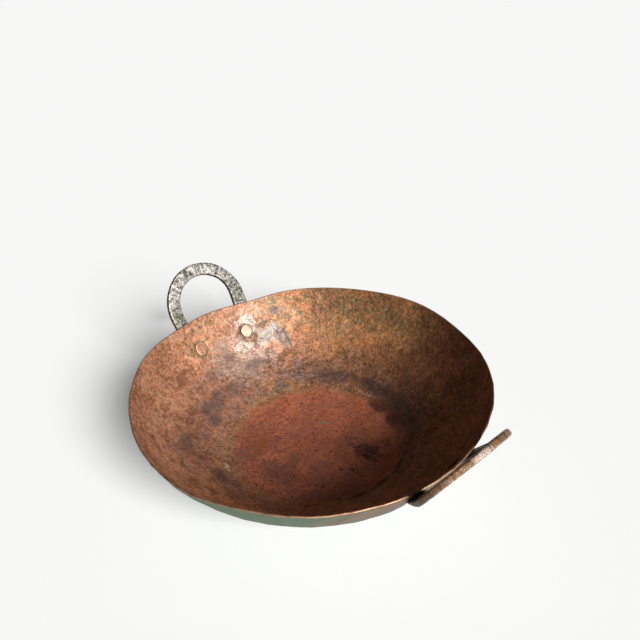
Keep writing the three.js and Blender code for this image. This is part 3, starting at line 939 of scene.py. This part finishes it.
def chain_arc(bm, vert, centre, turn, steps):
    """Spins a vertex in the XZ plane, counterclockwise as seen from -Y, and returns the last one."""
    spun = bmesh.ops.spin(
        bm,
        geom=[vert],
        cent=(centre[0], 0.0, centre[1]),
        axis=(0.0, 1.0, 0.0),
        dvec=(0.0, 0.0, 0.0),
        angle=-turn,
        steps=steps,
        use_merge=False,
        use_duplicate=False,
    )
    return spun["geom_last"][0]


def full_spin(bm, segments):
    """Spins a profile a quarter turn about Z, mirrors it twice, and turns its faces outwards."""
    bmesh.ops.spin(
        bm,
        geom=bm.verts[:] + bm.edges[:],
        cent=(0.0, 0.0, 0.0),
        axis=(0.0, 0.0, 1.0),
        dvec=(0.0, 0.0, 0.0),
        angle=math.pi / 2,
        steps=segments // 4,
        use_merge=False,
        use_duplicate=False,
    )
    for axis in ("X", "Y"):
        every = bm.verts[:] + bm.edges[:] + bm.faces[:]
        bmesh.ops.mirror(bm, geom=every, matrix=Matrix.Identity(4), merge_dist=MERGE_REACH, axis=axis)
    bmesh.ops.remove_doubles(bm, verts=bm.verts[:], dist=MERGE_REACH)
    bmesh.ops.recalc_face_normals(bm, faces=bm.faces[:])


BASE_STEPS, INNER_BASE_STEPS = 10, 26
KNUCKLE_STEPS, INNER_KNUCKLE_STEPS = 6, 9
WALL_STEPS, INNER_WALL_STEPS = 46, 62
LIP_STEPS = 6


def raise_sheet(bm, shape, segments):
    """Draws the bowl's section, outside first, and spins it. The inside shows more, so it is cut finer."""
    lip_round = shape.sheet / 2
    lip_slope = shape.lip_slope - lip_round / shape.wall_radius
    wall_turn = lip_slope - shape.knuckle_slope
    wall = (shape.wall_x, shape.wall_z)
    knuckle = (shape.knuckle_x, shape.knuckle_radius)
    middle = shape.wall_radius - lip_round
    lip = (wall[0] + middle * math.sin(lip_slope), wall[1] - middle * math.cos(lip_slope))
    vert = bm.verts.new((0.0, 0.0, 0.0))
    vert = chain_line(bm, vert, (shape.knuckle_x, 0.0, 0.0), BASE_STEPS)
    vert = chain_arc(bm, vert, knuckle, shape.knuckle_slope, KNUCKLE_STEPS)
    vert = chain_arc(bm, vert, wall, wall_turn, WALL_STEPS)
    vert = chain_arc(bm, vert, lip, math.pi, LIP_STEPS)
    vert = chain_arc(bm, vert, wall, -wall_turn, INNER_WALL_STEPS)
    vert = chain_arc(bm, vert, knuckle, -shape.knuckle_slope, INNER_KNUCKLE_STEPS)
    chain_line(bm, vert, (0.0, 0.0, shape.sheet), INNER_BASE_STEPS)
    full_spin(bm, segments)


# The bowl's material slots.
INSIDE, OUTSIDE, LIP = range(3)
SKIN_SHARE = 0.05
PAD_REACH = 0.012
PAD_FADE = 2.2
LIP_SHARE = 0.70
FACET_MEAN = 0.2
SEAT_DEPTH = 0.0007
SEAT_RADIUS = 0.0088
SEAT_SPREAD = 0.0020


def sort_faces(bm, shape):
    """Gives each face of the sheet to the inside, the outside or the lip."""
    for face in bm.faces:
        middle = face.calc_center_median()
        inset = shape.section(math.hypot(middle.x, middle.y), middle.z)[1] / shape.sheet
        face.material_index = LIP
        if inset > 1 - SKIN_SHARE:
            face.material_index = INSIDE
        if inset < SKIN_SHARE:
            face.material_index = OUTSIDE


def foot_pads(shape, sizes):
    """Places along each foot, where the wall stays true so that the foot lies on it."""
    pads = []
    for handle in HANDLES:
        turn = Matrix.Rotation(handle.turn, 3, "Z")
        for foot in (handle.back, handle.front):
            stations = half_loop(shape, sizes, handle, foot)
            pads += [turn @ station.middle for station in stations if station.lift < 1.0]
    tree = KDTree(len(pads))
    for index, pad in enumerate(pads):
        tree.insert(pad, index)
    tree.balance()
    return tree


def knocked(sizes, point, dents, on_wall):
    """How far outwards the hammer and the dents push the sheet at a point on its outside."""
    nearest = noise.voronoi(point / sizes.facet_size)[0][0]
    facet = sizes.facet_depth * (nearest**2 - FACET_MEAN)
    wave = sizes.wave_depth * noise.noise(point / sizes.wave_size)
    push = (facet + wave) * on_wall - (1 - on_wall) * 0.5 * sizes.facet_depth * nearest**2
    for middle, dent in dents:
        push += dent.depth * bell((middle - point).length, dent.spread)
    return push


def hammer_sheet(bm, shape, sizes, pads, seats):
    """Moves the sheet's two faces together: hammer marks, dents, rivet seats and bends of the lip."""
    dents = [(shape.inside(dent.azimuth, dent.radius), dent) for dent in DENTS]
    for vert in bm.verts:
        radius = math.hypot(vert.co.x, vert.co.y)
        turn = math.atan2(vert.co.y, vert.co.x)
        slope, inset = shape.section(radius, vert.co.z)
        away = Vector((math.cos(turn), math.sin(turn), 0.0))
        outward = away * math.sin(slope) - Vector((0.0, 0.0, math.cos(slope)))
        upward = away * math.cos(slope) + Vector((0.0, 0.0, math.sin(slope)))
        point = vert.co + outward * inset
        push = knocked(sizes, point, dents, smoothstep(slope, 0.0, shape.knuckle_slope))
        if radius > shape.knuckle_x:
            free = smoothstep(pads.find(point)[2], PAD_REACH, PAD_FADE * PAD_REACH)
            push = push * free + min(push, 0.0) * (1 - free)
            for seat in seats:
                push += SEAT_DEPTH * bell((seat - point).length - SEAT_RADIUS, SEAT_SPREAD)
        vert.co += outward * push
        near_lip = smoothstep(radius, LIP_SHARE * shape.rim, shape.rim)
        for bend in LIP_BENDS:
            weight = near_lip * bell(turned_from(math.degrees(turn), bend.azimuth), bend.spread)
            vert.co += weight * (bend.rise * upward + bend.push * away)


class PAN_OT_bowl(bpy.types.Operator):
    """Raises the bowl from one section, hammers it and gives it its three finishes"""

    bl_idname = "pan.bowl"
    bl_label = "Bowl"

    def execute(self, context):
        sizes = context.scene.pan_bowl
        tones = context.scene.pan_copper
        shape = BowlShape(sizes)
        bm = bmesh.new()
        raise_sheet(bm, shape, sizes.segments)
        sort_faces(bm, shape)
        seats = [shape.rivet_seat(form).translation for form in RIVETS]
        pads = foot_pads(shape, context.scene.pan_handle)
        hammer_sheet(bm, shape, sizes, pads, seats)
        materials = [inside_copper(shape, tones), outside_copper(tones), lip_copper(tones)]
        finished_piece(bm, "hammered_bowl", materials, ["pan_bowl"])
        return {"FINISHED"}


class Station(NamedTuple):
    """One place along a strap: its frame, how far it is lifted off the wall, and its section's size."""

    middle: Vector
    normal: Vector
    lift: float
    width: float
    thickness: float


TIP_STEPS = 9
LEG_STEPS = 44
ARCH_STEPS = 52
EDGE_STEPS = 5
FLAT_CUTS = 9
FLARE_SHARE = 0.6
# Heights in metres between which a leg's darker tone fades out.
LEG_LOW, LEG_HIGH = 0.104, 0.130


def strap_station(shape, sizes, handle, foot, place, taper):
    """The strap's middle at a place in the loop: on the wall at the foot, in the loop's plane above."""
    side, rise = place
    lift = smoothstep(rise, sizes.foot_end - foot.drop, 0.0)
    thickness = sizes.foot_thickness + (sizes.strap_thickness - sizes.foot_thickness) * lift
    point, outward = shape.seat(side, -rise)
    seated = point + outward * (sizes.clearance + thickness / 2)
    run = math.cos(sizes.loop_slope)
    climb = math.sin(sizes.loop_slope)
    free = Vector((shape.rim + handle.standoff + rise * run, side, shape.height + rise * climb))
    normal = outward.lerp(Vector((climb, 0.0, -run)), lift).normalized()
    width = sizes.foot_width + (sizes.strap_width - sizes.foot_width) * lift
    width += foot.flare * lift * (1 - smoothstep(rise, 0.0, FLARE_SHARE * sizes.loop_rise))
    return Station(seated.lerp(free, lift), normal, lift, width * taper, thickness)


def half_loop(shape, sizes, handle, foot):
    """The stations from the tip of one foot to the top of the arch."""
    arch_radius = (sizes.loop_width - sizes.strap_width) / 2
    arch_rise = sizes.loop_rise - sizes.strap_width / 2 - arch_radius
    hand = math.copysign(1.0, foot.side)
    rivet = Vector((abs(foot.side), -foot.drop))
    bend = Vector((arch_radius, (arch_rise - foot.drop) / 2))
    shoulder = Vector((arch_radius, arch_rise))
    down = (rivet - bend).normalized()
    tip = rivet + down * sizes.foot_end
    places = []
    for step in range(TIP_STEPS):
        turn = math.pi / 2 * (step + 0.5) / (TIP_STEPS - 0.5)
        places.append((tip - down * sizes.foot_width / 2 * (1 - math.cos(turn)), math.sin(turn)))
    for step in range(LEG_STEPS + 1):
        t = step / LEG_STEPS
        places.append((rivet.lerp(bend, t).lerp(bend.lerp(shoulder, t), t), 1.0))
    for step in range(1, ARCH_STEPS + 1):
        turn = math.pi / 2 * step / ARCH_STEPS
        spot = Vector((arch_radius * math.cos(turn), arch_rise + arch_radius * math.sin(turn)))
        places.append((spot, 1.0))
    return [
        strap_station(shape, sizes, handle, foot, (hand * spot.x, spot.y), taper) for spot, taper in places
    ]


def strap_section(bm, sizes):
    """A rounded rectangle in the XY plane, its edges cut finely, as one ring of edges."""
    bmesh.ops.create_circle(bm, cap_ends=True, segments=4, radius=math.sqrt(0.5))
    bmesh.ops.rotate(bm, verts=bm.verts[:], cent=(0, 0, 0), matrix=Matrix.Rotation(math.radians(45), 3, "Z"))
    bmesh.ops.scale(bm, verts=bm.verts[:], vec=(sizes.strap_width, sizes.strap_thickness, 1.0))
    bmesh.ops.bevel(
        bm,
        geom=bm.verts[:],
        offset=sizes.strap_round,
        offset_type="OFFSET",
        segments=EDGE_STEPS,
        profile=0.5,
        affect="VERTICES",
        material=-1,
    )
    bmesh.ops.delete(bm, geom=bm.faces[:], context="FACES_ONLY")
    wide = [edge for edge in bm.edges if edge.calc_length() > sizes.strap_width / 2]
    bmesh.ops.subdivide_edges(bm, edges=wide, cuts=FLAT_CUTS)
    return bm.edges[:]


def section_matrices(stations, sizes):
    """A matrix for each station, which takes the strap's plain section there."""
    matrices = []
    for index, station in enumerate(stations):
        before = stations[max(index - 1, 0)].middle
        after = stations[min(index + 1, len(stations) - 1)].middle
        along = (after - before).normalized()
        across = station.normal.cross(along).normalized()
        face = along.cross(across)
        wide = across * (station.width / sizes.strap_width)
        thick = face * (station.thickness / sizes.strap_thickness)
        axes = Matrix((wide, thick, along)).transposed().to_4x4()
        matrices.append(Matrix.Translation(station.middle) @ axes)
    return matrices


def forge_strap(bm, stations, sizes):
    """Extrudes the section from station to station and notes where each vertex lies on the strap."""
    along = bm.verts.layers.float.new("along")
    across = bm.verts.layers.float.new("across")
    edge = bm.verts.layers.float.new("edge")
    leg = bm.verts.layers.float.new("leg")
    ring_edges = strap_section(bm, sizes)
    ring = bm.verts[:]
    for vert in ring:
        vert[across] = vert.co.x
        vert[edge] = abs(vert.co.x) / (sizes.strap_width / 2)
    matrices = section_matrices(stations, sizes)
    bmesh.ops.transform(bm, matrix=matrices[0], verts=ring)
    bmesh.ops.edgeloop_fill(bm, edges=ring_edges)
    travelled = 0.0
    for index in range(1, len(stations)):
        made = bmesh.ops.extrude_edge_only(bm, edges=ring_edges)["geom"]
        ring = [part for part in made if isinstance(part, bmesh.types.BMVert)]
        fresh = set(ring)
        ring_edges = [
            part for part in made if isinstance(part, bmesh.types.BMEdge) and fresh.issuperset(part.verts)
        ]
        bmesh.ops.transform(bm, matrix=matrices[index] @ matrices[index - 1].inverted(), verts=ring)
        travelled += (stations[index].middle - stations[index - 1].middle).length
        for vert in ring:
            vert[along] = travelled
            vert[leg] = 1 - smoothstep(stations[index].middle.z, LEG_LOW, LEG_HIGH)
    bmesh.ops.edgeloop_fill(bm, edges=ring_edges)
    bmesh.ops.recalc_face_normals(bm, faces=bm.faces[:])


# Metres along and across the strap, for one hammer mark and for the slow swell of its edges.
MARK_LENGTH, MARK_WIDTH = 0.0075, 0.009
SWELL_LENGTH, SWELL_WIDTH = 0.018, 0.020
HEAVY_SCALE = 0.7
HEAVY_SHIFT = Vector((3.0, 5.0, 7.0))


def peen_strap(bm, sizes, seed):
    """Sinks hammer marks into the strap and makes its edges uneven."""
    along = bm.verts.layers.float["along"]
    across = bm.verts.layers.float["across"]
    hollow = bm.verts.layers.float.new("hollow")
    bm.normal_update()
    moves = []
    for vert in bm.verts:
        facing = 1.0 if vert.normal.z > 0 else -1.0
        spot = Vector((vert[along] / MARK_LENGTH, vert[across] / MARK_WIDTH, seed + facing))
        nearest = noise.voronoi(spot)[0][0]
        swell = noise.noise(Vector((vert[along] / SWELL_LENGTH, vert[across] / SWELL_WIDTH, seed)))
        heavy = smoothstep(noise.noise(spot * HEAVY_SCALE + HEAVY_SHIFT), -0.3, 0.5)
        mark = heavy * (1 - smoothstep(nearest, 0.05, 0.65))
        vert[hollow] = mark
        moves.append(-sizes.mark_depth * (mark + 0.4 + 0.4 * swell))
    for vert, move in zip(bm.verts, moves):
        vert.co += vert.normal * move


class PAN_OT_handles(bpy.types.Operator):
    """Forges the two loop handles: flat straps bent over an arch, with feet that lie on the wall"""

    bl_idname = "pan.handles"
    bl_label = "Handles"

    def execute(self, context):
        sizes = context.scene.pan_handle
        shape = BowlShape(context.scene.pan_bowl)
        material = forged_bronze(context.scene.pan_metal)
        for number, handle in enumerate(HANDLES):
            stations = half_loop(shape, sizes, handle, handle.back)
            stations += reversed(half_loop(shape, sizes, handle, handle.front)[:-1])
            bm = bmesh.new()
            forge_strap(bm, stations, sizes)
            peen_strap(bm, sizes, 10.0 * number)
            turn = Matrix.Rotation(handle.turn, 4, "Z")
            bmesh.ops.transform(bm, matrix=turn, verts=bm.verts[:])
            finished_piece(bm, f"forged_{handle.node}", [material], [handle.node])
        return {"FINISHED"}


RIVET_SEGMENTS = 56
RIVET_ARC_STEPS = 6
TAIL_LAND = 0.0001
PEEN_SIZE = 0.0035
PEEN_LAYER = 0.004
WANDER_SIZE = 0.008
WANDER_SHARE = 0.06


def upset_rivet(bm, sizes, proud, sheet, clearance, foot_thickness):
    """Draws a rivet's section from its head's middle to its tail's, and spins it."""
    head_seat = -sheet - clearance
    tail_seat = foot_thickness + 2 * clearance
    head = sizes.head_diameter / 2
    tail = sizes.tail_diameter / 2
    shank = sizes.shank_diameter / 2
    head_height = proud * sizes.head_height
    head_round = 0.45 * head_height
    crown = 0.12 * head_height
    undercut = 0.1 * head_height
    tail_round = 0.6 * sizes.tail_height
    head_top = head_seat - head_height
    tail_top = tail_seat + sizes.tail_height
    tail_side = tail_top - tail_round - TAIL_LAND
    vert = bm.verts.new((0.0, 0.0, head_top))
    vert = chain_line(bm, vert, (head - head_round, 0.0, head_top + crown), 10)
    vert = chain_arc(bm, vert, (vert.co.x, vert.co.z + head_round), math.pi / 2, RIVET_ARC_STEPS)
    vert = chain_line(bm, vert, (head, 0.0, head_seat - undercut), 2)
    vert = chain_line(bm, vert, (shank, 0.0, head_seat), 2)
    vert = chain_line(bm, vert, (shank, 0.0, tail_seat), 2)
    vert = chain_line(bm, vert, (tail, 0.0, tail_seat), 2)
    vert = chain_line(bm, vert, (tail, 0.0, tail_side), 2)
    vert = chain_arc(bm, vert, (tail - tail_round, tail_side), math.pi / 2, RIVET_ARC_STEPS)
    chain_line(bm, vert, (0.0, 0.0, tail_top), 8)
    full_spin(bm, RIVET_SEGMENTS)


def peen_rivet(bm, sizes, form):
    """Stretches a rivet's ends as they were struck, and hammers them."""
    reach = bm.verts.layers.float.new("reach")
    head = sizes.head_diameter / 2
    turn = Matrix.Rotation(math.radians(form.turn), 3, "Z")
    bm.normal_update()
    normals = [vert.normal.copy() for vert in bm.verts]
    for vert, normal in zip(bm.verts, normals):
        vert[reach] = math.hypot(vert.co.x, vert.co.y) / head
        flat = Vector((vert.co.x, vert.co.y, 0.0))
        spot = flat / PEEN_SIZE + Vector((0.0, 0.0, form.seed + vert.co.z / PEEN_LAYER))
        dent = noise.voronoi(spot)[0][0] ** 2
        wander = noise.noise(flat / WANDER_SIZE + Vector((0.0, 0.0, form.seed)))
        vert.co -= normal * sizes.mark_depth * dent
        ends = smoothstep(vert[reach] * head, sizes.shank_diameter / 2, head)
        out = 1 + ends * WANDER_SHARE * wander
        local = turn.inverted() @ vert.co
        local.x *= out * (1 + ends * (form.wide - 1))
        local.y *= out * (1 + ends * (form.tall - 1))
        vert.co = turn @ local


class PAN_OT_rivets(bpy.types.Operator):
    """Sets the four rivets through the wall and the handles' feet"""

    bl_idname = "pan.rivets"
    bl_label = "Rivets"

    def execute(self, context):
        sizes = context.scene.pan_rivet
        handles = context.scene.pan_handle
        tones = context.scene.pan_metal
        shape = BowlShape(context.scene.pan_bowl)
        materials = {face: rivet_copper(tones, face) for face in sorted({form.face for form in RIVETS})}
        for form in RIVETS:
            bm = bmesh.new()
            upset_rivet(bm, sizes, form.proud, shape.sheet, handles.clearance, handles.foot_thickness)
            peen_rivet(bm, sizes, form)
            seat = shape.rivet_seat(form)
            bmesh.ops.transform(bm, matrix=seat, verts=bm.verts[:])
            node = f"{form.handle.node}_{form.foot}_rivet"
            finished_piece(bm, f"peened_{node}", [materials[form.face]], [node])
        return {"FINISHED"}


FLOOR_DROP = 0.0002


class PAN_OT_stage(bpy.types.Operator):
    """Lays the floor, hangs the light and sets up the camera"""

    bl_idname = "pan.stage"
    bl_label = "Stage"

    def execute(self, context):
        stage = context.scene.pan_stage
        self.lay_floor(context.scene, stage)
        self.hang_light(context.scene, stage)
        self.set_camera(context.scene, stage)
        context.scene.view_settings.view_transform = "Standard"
        return {"FINISHED"}

    def lay_floor(self, scene, stage):
        """Lays the floor just under the pan."""
        bm = bmesh.new()
        bmesh.ops.create_grid(bm, x_segments=8, y_segments=8, size=stage.floor_size / 2)
        bmesh.ops.translate(bm, verts=bm.verts[:], vec=(0.0, 0.0, -FLOOR_DROP))
        mesh = bpy.data.meshes.new("studio_floor")
        bm.to_mesh(mesh)
        bm.free()
        mesh.materials.append(pale_floor(stage))
        floor = bpy.data.objects.new("studio_floor", mesh)
        scene.collection.objects.link(floor)

    def hang_light(self, scene, stage):
        """Hangs one broad main light and fills the shadows with a weak even one."""
        key = bpy.data.lights.new("key_light", "SUN")
        key.energy = stage.key_power
        key.angle = stage.key_width
        lamp = bpy.data.objects.new("key_light", key)
        tip = Matrix.Rotation(math.pi / 2 - stage.key_elevation, 4, "X")
        lamp.matrix_world = Matrix.Rotation(stage.key_azimuth + math.pi / 2, 4, "Z") @ tip
        scene.collection.objects.link(lamp)
        world = bpy.data.worlds.new("studio_air")
        world.use_nodes = True
        world.node_tree.nodes["Background"].inputs["Strength"].default_value = stage.world_power
        world.node_tree.nodes["Background"].inputs["Color"].default_value = (1.0, 1.0, 1.0, 1.0)
        scene.world = world

    def set_camera(self, scene, stage):
        """Stands the camera where the photograph was taken from."""
        lens = bpy.data.cameras.new("photo_camera")
        lens.lens = stage.camera_lens
        lens.sensor_width = stage.camera_sensor
        camera = bpy.data.objects.new("photo_camera", lens)
        heading = Matrix.Rotation(stage.camera_heading, 4, "Z")
        tilt = Matrix.Rotation(stage.camera_tilt, 4, "X")
        roll = Matrix.Rotation(stage.camera_roll, 4, "Z")
        camera.matrix_world = Matrix.Translation(stage.camera_place) @ heading @ tilt @ roll
        scene.collection.objects.link(camera)
        scene.camera = camera


class PAN_PT_panel(bpy.types.Panel):
    """Lists the pan's pieces and their sizes"""

    bl_idname = "PAN_PT_panel"
    bl_label = "Copper Pan"
    bl_space_type = "VIEW_3D"
    bl_region_type = "UI"
    bl_category = "Copper Pan"

    def draw(self, context):
        for operator in OPERATORS:
            self.layout.operator(operator.bl_idname)
        for name, group in SETTINGS.items():
            box = self.layout.box()
            box.label(text=group.__doc__)
            settings = getattr(context.scene, name)
            for field in group.__annotations__:
                box.prop(settings, field)


SETTINGS = {
    "pan_bowl": PanBowlSettings,
    "pan_handle": PanHandleSettings,
    "pan_rivet": PanRivetSettings,
    "pan_copper": PanCopperColours,
    "pan_metal": PanMetalColours,
    "pan_stage": PanStageSettings,
}
OPERATORS = (PAN_OT_bowl, PAN_OT_handles, PAN_OT_rivets, PAN_OT_stage)
CLASSES = (*SETTINGS.values(), *OPERATORS, PAN_PT_panel)


def register():
    """Makes the settings, the operators and the panel known to Blender."""
    for cls in CLASSES:
        bpy.utils.register_class(cls)
    for name, group in SETTINGS.items():
        setattr(bpy.types.Scene, name, PointerProperty(type=group))


def unregister():
    """Takes them away again."""
    for name in SETTINGS:
        delattr(bpy.types.Scene, name)
    for cls in reversed(CLASSES):
        bpy.utils.unregister_class(cls)


def main():
    """Builds the pan and its stage."""
    register()
    bpy.ops.pan.bowl()
    bpy.ops.pan.handles()
    bpy.ops.pan.rivets()
    bpy.ops.pan.stage()


if __name__ == "__main__":
    main()
